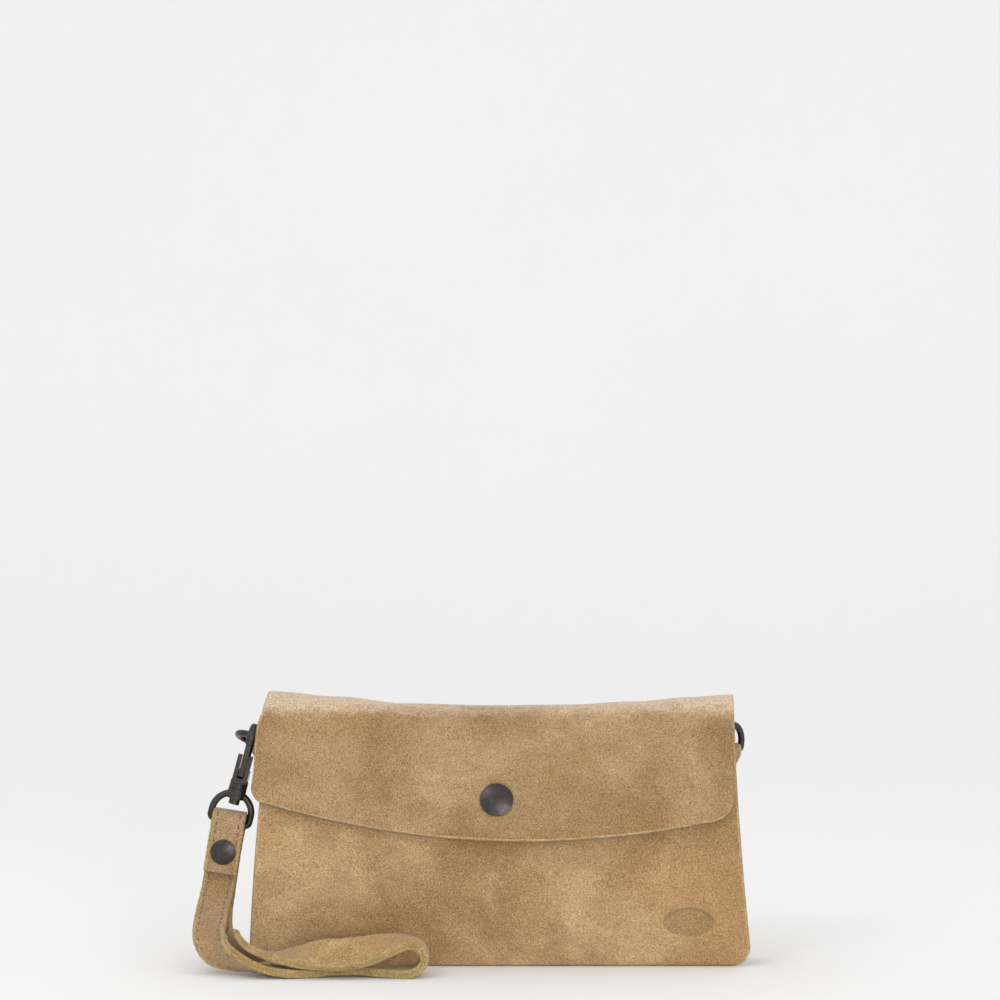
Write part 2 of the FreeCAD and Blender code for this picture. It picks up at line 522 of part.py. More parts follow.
def strap_section(i, low, high):
    """Four corners of one layer at a station, square to the strap's run."""
    centre, width = STATIONS[i]
    ahead, behind = STATIONS[min(i + 1, len(STATIONS) - 1)][0], STATIONS[max(i - 1, 0)][0]
    run = (ahead - behind).normalize()
    across = (width - run * width.dot(run)).normalize()
    normal = run.cross(across)
    corners = ((-half_w, low), (half_w, low), (half_w, high), (-half_w, high))
    return [centre + across * u + normal * v for u, v in corners]


def strap_layer(low, high):
    """One layer of the wrist loop between two offsets from its middle, with ruled faces."""
    sections = [strap_section(i, low, high) for i in range(len(STATIONS))]
    faces = [Part.Face(Part.makePolygon(end + [end[0]])) for end in (sections[0], sections[-1])]
    for here, there in zip(sections, sections[1:]):
        for k in range(4):
            j = (k + 1) % 4
            faces.append(Part.makeRuledSurface(line(here[k], here[j]), line(there[k], there[j])))
    shell = Part.Shell(faces)
    shell.sewShape()
    solid = Part.Solid(shell)
    solid.fix(0.001, 0.001, 0.001)
    return solid


stud_seat = placed(rod(4.9, V(0, 0, 0.9), V(0, 0, 3)), TAB_SNAP)
post_seat = placed(rod(4.9, V(0, 0, -3), V(0, 0, -0.9)), TAB_SNAP)
post_bore = placed(rod(1.55, V(0, 0, -2), V(0, 0, 2)), TAB_SNAP)
front_zone = box(-135, -110, EYE_BAR.y - 1.9, EYE_BAR.y + 1.86, 30, 70)
outer_layer = strap_layer(0, band_half).cut(stud_seat.common(front_zone)).cut(post_bore.common(front_zone))
inner_layer = strap_layer(-band_half, 0).cut(post_seat.common(front_zone)).cut(post_bore.common(front_zone))
length = sum((STATIONS[i + 1][0] - STATIONS[i][0]).Length for i in range(len(STATIONS) - 1))
print("wrist loop length", round(length, 1))
save("strap_outer_layer", outer_layer)
save("strap_inner_layer", inner_layer)
save("strap_fold", strap_fold())
save("strap_tab", placed(strap_tab(), STRAP))
save("tab_snap_cap", placed(tab_cap.removeSplitter(), TAB_SNAP))
save("tab_snap_socket", placed(tab_socket, TAB_SNAP))
save("strap_snap_stud", placed(strap_stud.removeSplitter(), TAB_SNAP))
save("strap_snap_post", placed(strap_post.removeSplitter(), TAB_SNAP))
print("eye bar", EYE_BAR, "swivel", SWIVEL_POINT, "tab hinge", STRAP.multVec(V(0, -LEG, 0)))
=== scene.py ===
"""Looks of the suede wristlet wallet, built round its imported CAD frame. Shapes are worked out in
millimetres and made in metres, in the frame's own axes: +X right, -Y front, +Z up."""
from math import atan2, cos, pi, radians, sin, sqrt

import bpy
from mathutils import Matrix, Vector, noise


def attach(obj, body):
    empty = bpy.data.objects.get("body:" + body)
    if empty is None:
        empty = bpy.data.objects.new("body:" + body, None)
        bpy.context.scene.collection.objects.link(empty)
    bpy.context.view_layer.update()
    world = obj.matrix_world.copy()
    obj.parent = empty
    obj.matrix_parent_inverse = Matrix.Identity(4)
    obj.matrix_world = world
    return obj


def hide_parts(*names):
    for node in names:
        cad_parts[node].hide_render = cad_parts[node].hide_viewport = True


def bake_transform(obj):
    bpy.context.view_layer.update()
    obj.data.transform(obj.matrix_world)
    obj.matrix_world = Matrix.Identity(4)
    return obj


def V(x, y, z):
    return Vector((x, y, z))


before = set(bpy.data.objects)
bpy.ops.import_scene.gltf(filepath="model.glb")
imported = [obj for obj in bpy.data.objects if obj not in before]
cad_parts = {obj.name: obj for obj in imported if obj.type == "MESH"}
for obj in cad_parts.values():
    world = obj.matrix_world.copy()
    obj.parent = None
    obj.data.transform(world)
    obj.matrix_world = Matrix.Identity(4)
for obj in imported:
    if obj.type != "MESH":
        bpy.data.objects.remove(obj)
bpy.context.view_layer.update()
MM = 0.001

# ---- driving dimensions, the CAD's own ----
HIDE, PANEL = 2.0, 1.6
BASE_HALF, BASE_ROUND, CORNER = 13.5, 3.0, 9.0
LEFT_SIDE = (V(-110.8, 0, 9), V(-108.4, 0, 48), V(-103.5, 0, 108.5))
RIGHT_SIDE = (V(110.8, 0, 9), V(107.0, 0, 48), V(104.5, 0, 108.5))
LEAN, FACE = V(0, 0.2821, 0.9594), V(0, -0.9594, 0.2821)
SLOPE_POINT = V(0, -13, 74)
SLOPE_LOW, SLOPE_TOP = -10.4, 15.6
BELLY = V(0, -17.6, 36)
FOLD = V(0, 3, 108.5)
FOLD_IN = 8.4
BACK_OUT = FOLD.y + FOLD_IN + HIDE
FOLD_TURN = pi - atan2(LEAN.y, LEAN.z)              # angle swept from the back to the flap
FOLD_HEIGHTS = ((-103, 120.9), (-73, 118.4), (-42, 115.3), (-5, 114.5), (30, 114.7), (60, 116.3),
                (86, 118.3), (103, 119.3))          # top of the fold at places along X
FLAP_TOP = (V(-105.8, 0, 110), V(104, 0, 110))
BAND, HALF_W = 3.6, 7.0
EYE_BAR = V(-120.679, -5.4, 63.366)
STRAP_LEAN = radians(9)
STRAP_DOWN = V(-sin(STRAP_LEAN), 0, -cos(STRAP_LEAN))
STRAP_ACROSS = V(cos(STRAP_LEAN), 0, -sin(STRAP_LEAN))
LEG = 3.75
TAB_LENGTH = 22.5
RING_BARS = {"left": V(-106.6, 4.5, 97.5), "right": V(102.3, 4.5, 94.0)}
RING_YAW = radians(42)
RING_TAB_HALF = 6.0
STITCH, STITCH_GAP, THREAD = 2.2, 1.0, 0.27
STITCH_INSET, TAB_STITCH_INSET = 2.2, 2.0           # from a band's edge to its row of stitches
FOLD_LIGHT_RISE = 8                                       # height above the fold's axis over which the fold's top is painted paler: painted light from above
VIEW_DOWN = radians(9.5)                            # how far the line of sight to the base looks down
VIEW_DISTANCE = 1.3
WAVE_SCALE = 0.314                                  # wave texture scale times pitch for one band per pitch


# ---- node materials ----
def material(name, **sockets):
    """A Principled material and its tree; constants go straight onto the shader's sockets."""
    mat = bpy.data.materials.new(name)
    mat.use_nodes = True
    shader = mat.node_tree.nodes["Principled BSDF"]
    for key, value in sockets.items():
        shader.inputs[key.replace("_", " ")].default_value = value
    return mat, mat.node_tree, shader


def add(tree, kind, **values):
    """A node with its settings and unlinked inputs; a value that is a socket is linked."""
    node = tree.nodes.new("ShaderNode" + kind)
    for key, value in values.items():
        if hasattr(node, key):
            setattr(node, key, value)
            continue
        socket = node.inputs[int(key[1:])] if key[0] == "i" and key[1:].isdigit() else node.inputs[key]
        if isinstance(value, bpy.types.NodeSocket):
            tree.links.new(value, socket)
        else:
            socket.default_value = value
    return node


def place(tree, stretch=(1, 1, 1)):
    """Coordinates of the object itself, in metres, stretched along its axes."""
    coords = add(tree, "TexCoord").outputs["Object"]
    return add(tree, "Mapping", Vector=coords, Scale=stretch).outputs[0]


def cloud(tree, where, scale, detail=4.0, rough=0.55, distort=0.0):
    return add(tree, "TexNoise", Vector=where, Scale=scale, Detail=detail, Roughness=rough,
               Distortion=distort).outputs["Fac"]


def remap(tree, value, low, high, to_low=0.0, to_high=1.0):
    return add(tree, "MapRange", i0=value, i1=low, i2=high, i3=to_low, i4=to_high).outputs[0]


def blend_colour(tree, factor, first, second, mode="MIX"):
    return add(tree, "Mix", data_type="RGBA", blend_type=mode, i0=factor, i6=first, i7=second).outputs[2]


def add_bump(tree, shader, layers):
    """Chained bumps: each layer is (height socket, strength, distance in metres)."""
    normal = None
    for height, strength, distance in layers:
        extra = {"Normal": normal} if normal else {}
        normal = add(tree, "Bump", Height=height, Strength=strength, Distance=distance, **extra).outputs[0]
    tree.links.new(normal, shader.inputs["Normal"])


def suede(name, light, dark, warm, nap=1.0, patch=24.0, mark=None):
    """Napped suede: cloudy patches, warm stains, a speckle of fibres lit and shaded, and a soft nap
    with painted light: the nap is painted paler where a point attribute of the mesh says so, on the fold's
    top where light from above falls."""
    mat, tree, shader = material(name, Roughness=0.95, Sheen_Weight=0.26, Sheen_Roughness=0.5,
                                 Specular_IOR_Level=0.12)
    where = place(tree)
    patches = remap(tree, cloud(tree, where, patch, 5, 0.6, 0.5), 0.40, 0.62)
    stains = remap(tree, cloud(tree, where, patch * 0.62, 3, 0.5, 0.8), 0.46, 0.70, 0.0, 0.7)
    streaks = remap(tree, cloud(tree, place(tree, (1, 1, 2.2)), 150, 4, 0.6), 0.35, 0.65)
    speck = cloud(tree, where, 1650, 3, 0.7)
    fleck = cloud(tree, place(tree, (1.0, 1.0, 0.55)), 2500, 2, 0.6, 0.6)
    colour = blend_colour(tree, patches, dark, light)
    colour = blend_colour(tree, stains, colour, warm)
    colour = blend_colour(tree, remap(tree, streaks, 0, 1, 0.0, 0.34), colour, dark)
    # painted light: a point attribute that rises with height over the fold's top
    worn_and_lit = add(tree, "Attribute", attribute_name="fold_top_light").outputs["Fac"]
    ragged = add(tree, "Math", operation="MULTIPLY_ADD", i0=streaks, i1=0.4, i2=worn_and_lit).outputs[0]
    # painted highlight: the fold's top is blended towards a paler colour, as if lit from above, made ragged
    # by the streaks
    colour = blend_colour(tree, remap(tree, ragged, 0.4, 1.1, 0, 0.80), colour, PAINTED_FOLD_LIGHT)
    colour = blend_colour(tree, 1.0, colour, remap(tree, speck, 0.34, 0.66, 0.52, 1.46), "MULTIPLY")
    sparks = remap(tree, fleck, 0.56, 0.68, 0.0, 0.55)
    colour = blend_colour(tree, sparks, colour, [min(1, c * 1.5) for c in light[:3]] + [1])
    layers = [(cloud(tree, where, 260, 4, 0.6), 0.35, 0.0009 * nap), (speck, 0.7, 0.0004 * nap),
              (fleck, 0.5, 0.0003 * nap)]
    if mark:
        inside, rim = oval(tree, *mark)
        colour = blend_colour(tree, remap(tree, inside, 0, 1, 0, 0.30), colour, shaded(dark, 0.62))
        layers.append((remap(tree, inside, 0, 1, 1, 0), 0.9, 0.0009))
        colour = blend_colour(tree, remap(tree, rim, 0, 1, 0, 0.38), colour, shaded(dark, 0.4))
    tree.links.new(colour, shader.inputs["Base Color"])
    add_bump(tree, shader, layers)
    return mat


def shaded(colour, share):
    return [c * share for c in colour[:3]] + [1]


def oval(tree, centre, half, edge=0.16):
    """Masks of a pressed oval in the XZ plane: its inside, and its rim."""
    offset = add(tree, "VectorMath", operation="SUBTRACT", i0=place(tree), i1=centre).outputs[0]
    shrink = (1 / half[0], 0, 1 / half[1])
    scaled = add(tree, "VectorMath", operation="MULTIPLY", i0=offset, i1=shrink).outputs[0]
    reach = add(tree, "VectorMath", operation="LENGTH", i0=scaled).outputs["Value"]
    inside = remap(tree, reach, 1, 1 - edge)
    off_rim = add(tree, "Math", operation="SUBTRACT", i0=reach, i1=1.0).outputs[0]
    away = add(tree, "Math", operation="ABSOLUTE", i0=off_rim).outputs[0]
    return inside, remap(tree, away, 0.09, 0.0)


def metal(name, colour, worn_and_lit, rough=0.36, bevel=0.00035):
    """Plated metal with rounded, slightly rubbed edges and fine scratches."""
    mat, tree, shader = material(name, Metallic=0.85)
    where = place(tree)
    rounded = add(tree, "Bevel", samples=4, Radius=bevel).outputs[0]
    true_normal = add(tree, "NewGeometry").outputs["Normal"]
    flat = add(tree, "VectorMath", operation="DOT_PRODUCT", i0=rounded, i1=true_normal).outputs["Value"]
    rubbed = remap(tree, flat, 0.995, 0.9, 0.0, 0.8)
    smear = cloud(tree, where, 520, 5, 0.6)
    scratch = cloud(tree, place(tree, (1, 1, 7)), 900, 3, 0.7)
    base = blend_colour(tree, remap(tree, smear, 0.4, 0.75, 0.0, 0.2), colour, worn_and_lit)
    base = blend_colour(tree, rubbed, base, worn_and_lit)
    tree.links.new(base, shader.inputs["Base Color"])
    tree.links.new(remap(tree, scratch, 0.3, 0.7, rough - 0.08, rough + 0.14), shader.inputs["Roughness"])
    bump = add(tree, "Bump", Height=scratch, Strength=0.12, Distance=0.0001, Normal=rounded).outputs[0]
    tree.links.new(bump, shader.inputs["Normal"])
    return mat


def woven(name, colour, shade, pitch):
    """Plain weave of threads of one pitch, in metres."""
    mat, tree, shader = material(name, Roughness=0.85, Sheen_Weight=0.15)
    where = place(tree)
    scale = WAVE_SCALE / pitch
    waves = [add(tree, "TexWave", Vector=where, bands_direction=axis, Scale=scale, Distortion=0.3)
             for axis in ("X", "Z")]
    across, along = (wave.outputs["Fac"] for wave in waves)
    threads = add(tree, "Math", operation="MULTIPLY", i0=across, i1=along).outputs[0]
    tint = blend_colour(tree, remap(tree, cloud(tree, where, 180), 0.35, 0.65), colour, shade)
    tint = blend_colour(tree, remap(tree, threads, 0, 1, 0.5, 0.0), tint, shaded(shade, 0.5))
    tree.links.new(tint, shader.inputs["Base Color"])
    add_bump(tree, shader, [(threads, 0.5, pitch * 0.4)])
    return mat


LIGHT, DARK, WARM = (0.448, 0.312, 0.165, 1), (0.275, 0.166, 0.074, 1), (0.340, 0.190, 0.076, 1)
# painted highlight: the paler colour of the fold's top, where light from above falls
PAINTED_FOLD_LIGHT = (0.680, 0.530, 0.380, 1)
MARK_CENTRE, MARK_HALF = (0.0832, 0, 0.0205), (0.0108, 0.0062)     # pressed oval, in metres
FRONT_LIGHT_SHARE = 1.15                                  # painted light: the front panel's suede is painted paler than the flap's, making up for the light it lacks lower down and under the flap
EDGE_LIGHT, EDGE_DARK = (0.560, 0.410, 0.225, 1), (0.430, 0.285, 0.130, 1)
SUEDE = suede("suede_hide", LIGHT, DARK, WARM)
# painted light: a paler, lit copy of the hide's suede, used for the front panel's outer face
SUEDE_FRONT_LIT = suede("suede_front_lit", *(shaded(colour, FRONT_LIGHT_SHARE) for colour in (LIGHT, DARK, WARM)),
                    mark=(MARK_CENTRE, MARK_HALF))
SUEDE_EDGE = suede("suede_cut_edge", EDGE_LIGHT, EDGE_DARK, EDGE_DARK, 1.4, 120.0)
STRAP_FACE = suede("strap_suede_face", (0.425, 0.292, 0.168, 1), (0.308, 0.192, 0.098, 1),
                   (0.355, 0.202, 0.092, 1), 0.7, 60.0)
STRAP_RAW = suede("strap_raw_edge", (0.500, 0.362, 0.160, 1), (0.365, 0.245, 0.095, 1),
                  (0.400, 0.270, 0.090, 1), 1.5, 160.0)
STRAP_NAP = suede("strap_suede_nap", (0.500, 0.340, 0.160, 1), (0.370, 0.232, 0.095, 1),
                  (0.420, 0.240, 0.090, 1), 1.0, 60.0)
GUNMETAL = metal("gunmetal", (0.050, 0.044, 0.042, 1), (0.190, 0.175, 0.160, 1), 0.30)
STEEL = metal("snap_steel", (0.150, 0.140, 0.130, 1), (0.330, 0.310, 0.280, 1), 0.42)
BRASS = metal("zip_metal", (0.180, 0.140, 0.080, 1), (0.400, 0.320, 0.180, 1), 0.40, 0.0002)
LINING = woven("lining_cloth", (0.200, 0.135, 0.085, 1), (0.150, 0.098, 0.060, 1), 0.0006)
TAPE = woven("zip_tape_cloth", (0.130, 0.085, 0.050, 1), (0.100, 0.064, 0.038, 1), 0.0004)
THREADS, thread_tree, thread_shader = material("stitch_thread", Roughness=0.8, Sheen_Weight=0.2)
twist = cloud(thread_tree, place(thread_tree), 2600, 2)
thread_tint = blend_colour(thread_tree, remap(thread_tree, twist, 0.35, 0.65), (0.130, 0.072, 0.034, 1),
                           (0.240, 0.150, 0.078, 1))
thread_tree.links.new(thread_tint, thread_shader.inputs["Base Color"])


# ---- mesh helpers ----
def mesh_object(name, points, faces, mats, slots, smooth=True):
    """A mesh from points in millimetres, with a material per face."""
    mesh = bpy.data.meshes.new(name)
    mesh.from_pydata([p * MM for p in points], [], faces)
    for mat in mats:
        mesh.materials.append(mat)
    mesh.polygons.foreach_set("material_index", slots)
    mesh.polygons.foreach_set("use_smooth", [smooth] * len(faces))
    mesh.update()
    obj = bpy.data.objects.new(name, mesh)
    bpy.context.collection.objects.link(obj)
    return obj


def sheet(name, outer, thickness, mats):
    """Closed shell from a grid of outer points; its inner face lies inward along the grid's normals.
    mats are the outer face, the inner face and the cut rim, which shows on the last row and sides."""
    rows, cols = len(outer), len(outer[0])
    inner = []
    for r in range(rows):
        line = []
        for c in range(cols):
            along = outer[min(r + 1, rows - 1)][c] - outer[max(r - 1, 0)][c]
            across = outer[r][min(c + 1, cols - 1)] - outer[r][max(c - 1, 0)]
            line.append(outer[r][c] - along.cross(across).normalized() * thickness)
        inner.append(line)
    border = [(0, c) for c in range(cols)] + [(r, cols - 1) for r in range(1, rows)]
    border += [(rows - 1, c) for c in range(cols - 2, -1, -1)] + [(r, 0) for r in range(rows - 2, 0, -1)]
    points = [p for row in outer for p in row] + [p for row in inner for p in row]
    middle = len(points)
    for k, (r, c) in enumerate(border):
        ahead, behind = border[(k + 1) % len(border)], border[k - 1]
        run = outer[ahead[0]][ahead[1]] - outer[behind[0]][behind[1]]
        out = run.cross(outer[r][c] - inner[r][c]).normalized()
        points.append((outer[r][c] + inner[r][c]) / 2 + out * thickness * 0.22)
    faces, slots = [], []
    size = rows * cols
    for r in range(rows - 1):
        for c in range(cols - 1):
            a = r * cols + c
            b = size + a
            faces += [(a, a + 1, a + cols + 1, a + cols), (b, b + cols, b + cols + 1, b + 1)]
            slots += [2 if r == rows - 2 or c in (0, cols - 2) else 0, 1]
    for k, (r, c) in enumerate(border):
        n = (k + 1) % len(border)
        here, there = r * cols + c, border[n][0] * cols + border[n][1]
        faces += [(there, here, middle + k, middle + n), (middle + n, middle + k, size + here, size + there)]
        slots += [2, 2]
    return mesh_object(name, points, faces, mats, slots)


def through(a, b, c, t):
    """Smooth curve through three points, at t from 0 to 1."""
    m = (b - a).length / ((b - a).length + (c - b).length)
    return (a * ((t - m) * (t - 1) / m) + b * (t * (t - 1) / (m * (m - 1))) + c * (t * (t - m) / (1 - m)))


def at_height(curve, z):
    """X of a curve through three points of rising height."""
    a, b, c = curve
    return (a.x * (z - b.z) * (z - c.z) / ((a.z - b.z) * (a.z - c.z))
            + b.x * (z - a.z) * (z - c.z) / ((b.z - a.z) * (b.z - c.z))
            + c.x * (z - a.z) * (z - b.z) / ((c.z - a.z) * (c.z - b.z)))


def smooth(t):
    t = min(1.0, max(0.0, t))
    return t * t * (3 - 2 * t)


def side_x(curve, z):
    """X of the pouch's outline at a height, with its rounded bottom corner."""
    if z >= CORNER:
        return at_height(curve, z)
    inset = CORNER - sqrt(CORNER ** 2 - (CORNER - max(z, 0)) ** 2)
    return curve[0].x - inset * (1 if curve[0].x > 0 else -1)


def eased(table, x):
    """Height at x from a table, joined smoothly."""
    for (x0, h0), (x1, h1) in zip(table, table[1:]):
        if x <= x1:
            return h0 + (h1 - h0) * smooth((x - x0) / (x1 - x0))
    return table[-1][1]


def wander(p, size, amount, seed):
    """A slow, fixed wave of the hide, in millimetres."""
    return noise.noise(p / size + V(seed, seed * 1.7, seed * 0.3)) * amount


def steps(count):
    return [k / (count - 1) for k in range(count)]


# ---- hide: back panel, fold and flap in one piece ----
def fold_sag(p):
    """Moves a point of the hide up or down so that the fold's top follows its wavy line."""
    rise = eased(FOLD_HEIGHTS, p.x) - (FOLD.z + FOLD_IN + HIDE)
    return p + V(0, 0, rise * smooth((p.z - 84) / 27))


def back_row(z, cols):
    x0, x1 = side_x(LEFT_SIDE, z), side_x(RIGHT_SIDE, z)
    return [V(x0 + (x1 - x0) * u, BACK_OUT, z) for u in cols]


def flap_edge(u):
    """The flap's lower edge from its left corner to its right one, X and Z."""
    left = (V(-110, 0, 80), V(-108.4, 0, 75.4), V(-104, 0, 73.2))
    low = (V(-104, 0, 73.2), V(11, 0, 56.8), V(90, 0, 64.6))
    right = (V(90, 0, 64.6), V(100.8, 0, 69.3), V(103.6, 0, 77))
    lengths = (9.2, 195.0, 21.0)
    s = u * sum(lengths)
    for curve, length in zip((left, low, right), lengths):
        if s <= length or curve is right:
            return through(*curve, min(1, s / length))
        s -= length


def on_flap(x, z, lift=0.0):
    """Point of the flap's outer face above an X and Z."""
    depth = FOLD_IN + HIDE + (FOLD - SLOPE_POINT).dot(FACE) + lift
    a = (z - SLOPE_POINT.z - FACE.z * depth) / LEAN.z
    return V(x, SLOPE_POINT.y + FACE.y * depth + LEAN.y * a, z)


def flap_row(t, cols):
    row = []
    for u in cols:
        low = flap_edge(u)
        top = FLAP_TOP[0].lerp(FLAP_TOP[1], u)
        x, z = top.x + (low.x - top.x) * t, top.z + (low.z - top.z) * t
        x -= 14 * t * (1 - t) ** 3 * (1 - u) ** 6
        x += 0.5 * 4 * t * (1 - t) * u ** 6
        row.append(on_flap(x, z))
    return row


def fold_row(t, cols):
    angle = t * FOLD_TURN
    reach = FOLD_IN + HIDE
    y, z = FOLD.y + reach * cos(angle), FOLD.z + reach * sin(angle)
    left, right = -103.5 + 0.9 * t - 3.2 * t ** 4, 104.5 - 0.5 * t
    return [V(left + (right - left) * u, y, z) for u in cols]


def hide():
    cols = steps(200)
    rows = [back_row(CORNER * (1 - cos(t * pi / 2)), cols) for t in steps(10)[:-1]]
    rows += [back_row(CORNER + (FOLD.z - CORNER) * t, cols) for t in steps(50)[:-1]]
    rows += [fold_row(t, cols) for t in steps(22)[:-1]]
    rows += [flap_row(t, cols) for t in steps(60)]
    moved = []
    for row in rows:
        line = []
        for p in row:
            q = fold_sag(p)
            soft = smooth((q.z - 5) / 20)
            shift = wander(q, 34, 1.1, 3.1) + wander(q, 13, 0.35, 8.4)
            outward = V(0, 1, 0) if p.y > 8 else FACE
            line.append(q + outward * shift * soft * (0.25 if p.y > 8 else 0.8))
        moved.append(line)
    piece = sheet("hide", moved, HIDE, [SUEDE, SUEDE, SUEDE_EDGE])
    # painted light: values that rise with height above the fold's axis, stored on the points, paint the
    # fold's top paler
    outside = [(p.z - FOLD.z) / FOLD_LIGHT_RISE for row in moved for p in row]
    fold_top_light = piece.data.attributes.new("fold_top_light", "FLOAT", "POINT")
    fold_top_light.data.foreach_set("value", outside + [0.0] * (len(piece.data.vertices) - len(outside)))
    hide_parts("back_panel", "flap_fold", "flap")
    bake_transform(piece)
    return piece


# ---- front panel ----
def front_profile():
    """Y and Z down the front's outer face, from its top edge round the toe to the rear of the base."""
    low = SLOPE_POINT + LEAN * SLOPE_LOW
    top = SLOPE_POINT + LEAN * SLOPE_TOP
    toe, heel = V(0, -BASE_HALF, BASE_ROUND), V(0, -BASE_HALF + BASE_ROUND, 0)
    k = BASE_ROUND * (1 - cos(radians(45)))
    bend = V(0, -BASE_HALF + k, k)
    points = [top.lerp(low, t) for t in steps(22)[:-1]]
    points += [through(low, BELLY, toe, t) for t in steps(56)[:-1]]
    points += [through(toe, bend, heel, t) for t in steps(8)[:-1]]
    return points + [heel.lerp(V(0, BACK_OUT - HIDE, 0), t) for t in steps(12)]


def front():
    cols = steps(200)
    rows = []
    for p in front_profile():
        x0, x1 = side_x(LEFT_SIDE, p.z), side_x(RIGHT_SIDE, p.z)
        row = []
        for u in cols:
            q = V(x0 + (x1 - x0) * u, p.y, p.z)
            edge = min(q.x - x0, x1 - q.x)
            loose = smooth(edge / 14) * smooth(p.z / 14) if p.y < -BASE_HALF + BASE_ROUND else 0
            q.y += (1 - smooth(edge / 7)) * 1.2 * smooth((p.z - 4) / 10)
            q.y -= (wander(q, 42, 1.5, 1.3) + wander(q, 15, 0.5, 5.2)) * loose
            row.append(q)
        rows.append(row)
    # painted light: the outer face takes the paler, lit copy of the suede
    piece = sheet("front", rows, PANEL, [SUEDE_FRONT_LIT, SUEDE, SUEDE_EDGE])
    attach(piece, "pouch")
    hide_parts("front_panel")
    return piece


# ---- bands: the strap, its end and the ring tabs ----
def spline(points, t):
    """Point at t along a smooth line through all the points, t counted in points."""
    i = min(int(t), len(points) - 2)
    f = t - i
    p0, p1, p2 = points[max(i - 1, 0)], points[i], points[i + 1]
    p3 = points[min(i + 2, len(points) - 1)]
    return (p1 * 2 + (p2 - p0) * f + (p0 * 2 - p1 * 5 + p2 * 4 - p3) * f * f
            + (p1 * 3 - p0 - p2 * 3 + p3) * f ** 3) / 2


def band_frames(centres, widths, pitch):
    """Evenly spaced (centre, across, normal, length) along a smooth band."""
    fine, run = [], 0.0
    count = (len(centres) - 1) * 16
    for k in range(count + 1):
        t = k * (len(centres) - 1) / count
        fine.append((spline(centres, t), spline(widths, t)))
    frames, due = [], 0.0
    for k, (centre, width) in enumerate(fine):
        if k:
            run += (centre - fine[k - 1][0]).length
        if run >= due or k == count:
            ahead, behind = fine[min(k + 1, count)][0], fine[max(k - 1, 0)][0]
            along = (ahead - behind).normalized()
            across = (width - along * width.dot(along)).normalized()
            frames.append((centre, across, along.cross(across), run))
            due = run + pitch
    return frames


def band_section(half_w, half_t, layers):
    """Outline of a band's cut, as (across, through, is raw); two layers leave a groove in the edge."""
    flat = [half_w * share for share in (-1, -0.86, -0.6, -0.3, 0, 0.3, 0.6, 0.86, 1)]
    top = [(u, half_t, abs(u) == half_w) for u in flat]
    edge = [(half_w + 0.22, half_t * 0.72, True), (half_w + 0.3, half_t * 0.4, True)]
    edge += [(half_w - 0.25, 0, True)] if layers == 2 else [(half_w + 0.32, 0, True)]
    edge += [(half_w + 0.3, -half_t * 0.4, True), (half_w + 0.22, -half_t * 0.72, True)]
    return top + edge + [(-u, -v, raw) for u, v, raw in top + edge]


def band(name, frames, half_w, half_t, mats, layers=2, fuzz=0.25, napped=None):
    """Mesh of a band along its frames: faces and raw, slightly ragged edges. Between the two lengths
    of napped, its faces take the third material."""
    section = band_section(half_w, half_t, layers)
    size = len(section)
    points, faces, slots = [], [], []
    for centre, across, normal, run in frames:
        for u, v, raw in section:
            p = centre + across * u + normal * v
            ragged = noise.noise(V(run * 0.9, u * 3, v * 4)) * fuzz if raw else 0
            swell = noise.noise(p / 9) * 0.12
            side, face = (1 if u > 0 else -1), (1 if v > 0 else -1)
            points.append(p + across * (ragged * side) + normal * (swell * face))
    for k in range(len(frames) - 1):
        for j in range(size):
            n = (j + 1) % size
            a, b = k * size, (k + 1) * size
            faces.append((a + j, b + j, b + n, a + n))
            inside = napped and napped[0] < frames[k][3] < napped[1]
            slots.append(1 if section[j][2] or section[n][2] else (2 if inside else 0))
    faces += [tuple(range(size)), tuple(range(len(points) - 1, len(points) - size - 1, -1))]
    slots += [1, 1]
    return mesh_object(name, points, faces, mats, slots)


def stitches(name, frames, offset, height, sides, start, stop):
    """Two rows of short threads sunk into a band's faces between two lengths along it."""
    points, faces = [], []
    length = frames[-1][3]
    due = start
    for here, there in zip(frames, frames[1:]):
        if here[3] < due or here[3] > min(stop, length - 1):
            continue
        due = here[3] + STITCH + STITCH_GAP
        along = (there[0] - here[0]).normalized()
        for row in (-1, 1):
            for side in sides:
                centre = here[0] + here[1] * (row * offset) + here[2] * (side * height)
                base = len(points)
                for s, r in ((-0.5, 0.45), (-0.3, 1), (0.3, 1), (0.5, 0.45)):
                    for q in range(6):
                        a = q * pi / 3
                        ring = here[1] * cos(a) + here[2] * sin(a)
                        points.append(centre + along * (s * STITCH) + ring * (THREAD * r))
                for s in range(3):
                    for q in range(6):
                        n = (q + 1) % 6
                        ring_at = base + s * 6
                        faces.append((ring_at + q, ring_at + n, ring_at + 6 + n, ring_at + 6 + q))
                faces += [tuple(base + q for q in range(5, -1, -1)), tuple(base + 18 + q for q in range(6))]
    return mesh_object(name, points, faces, [THREADS], [0] * len(faces))


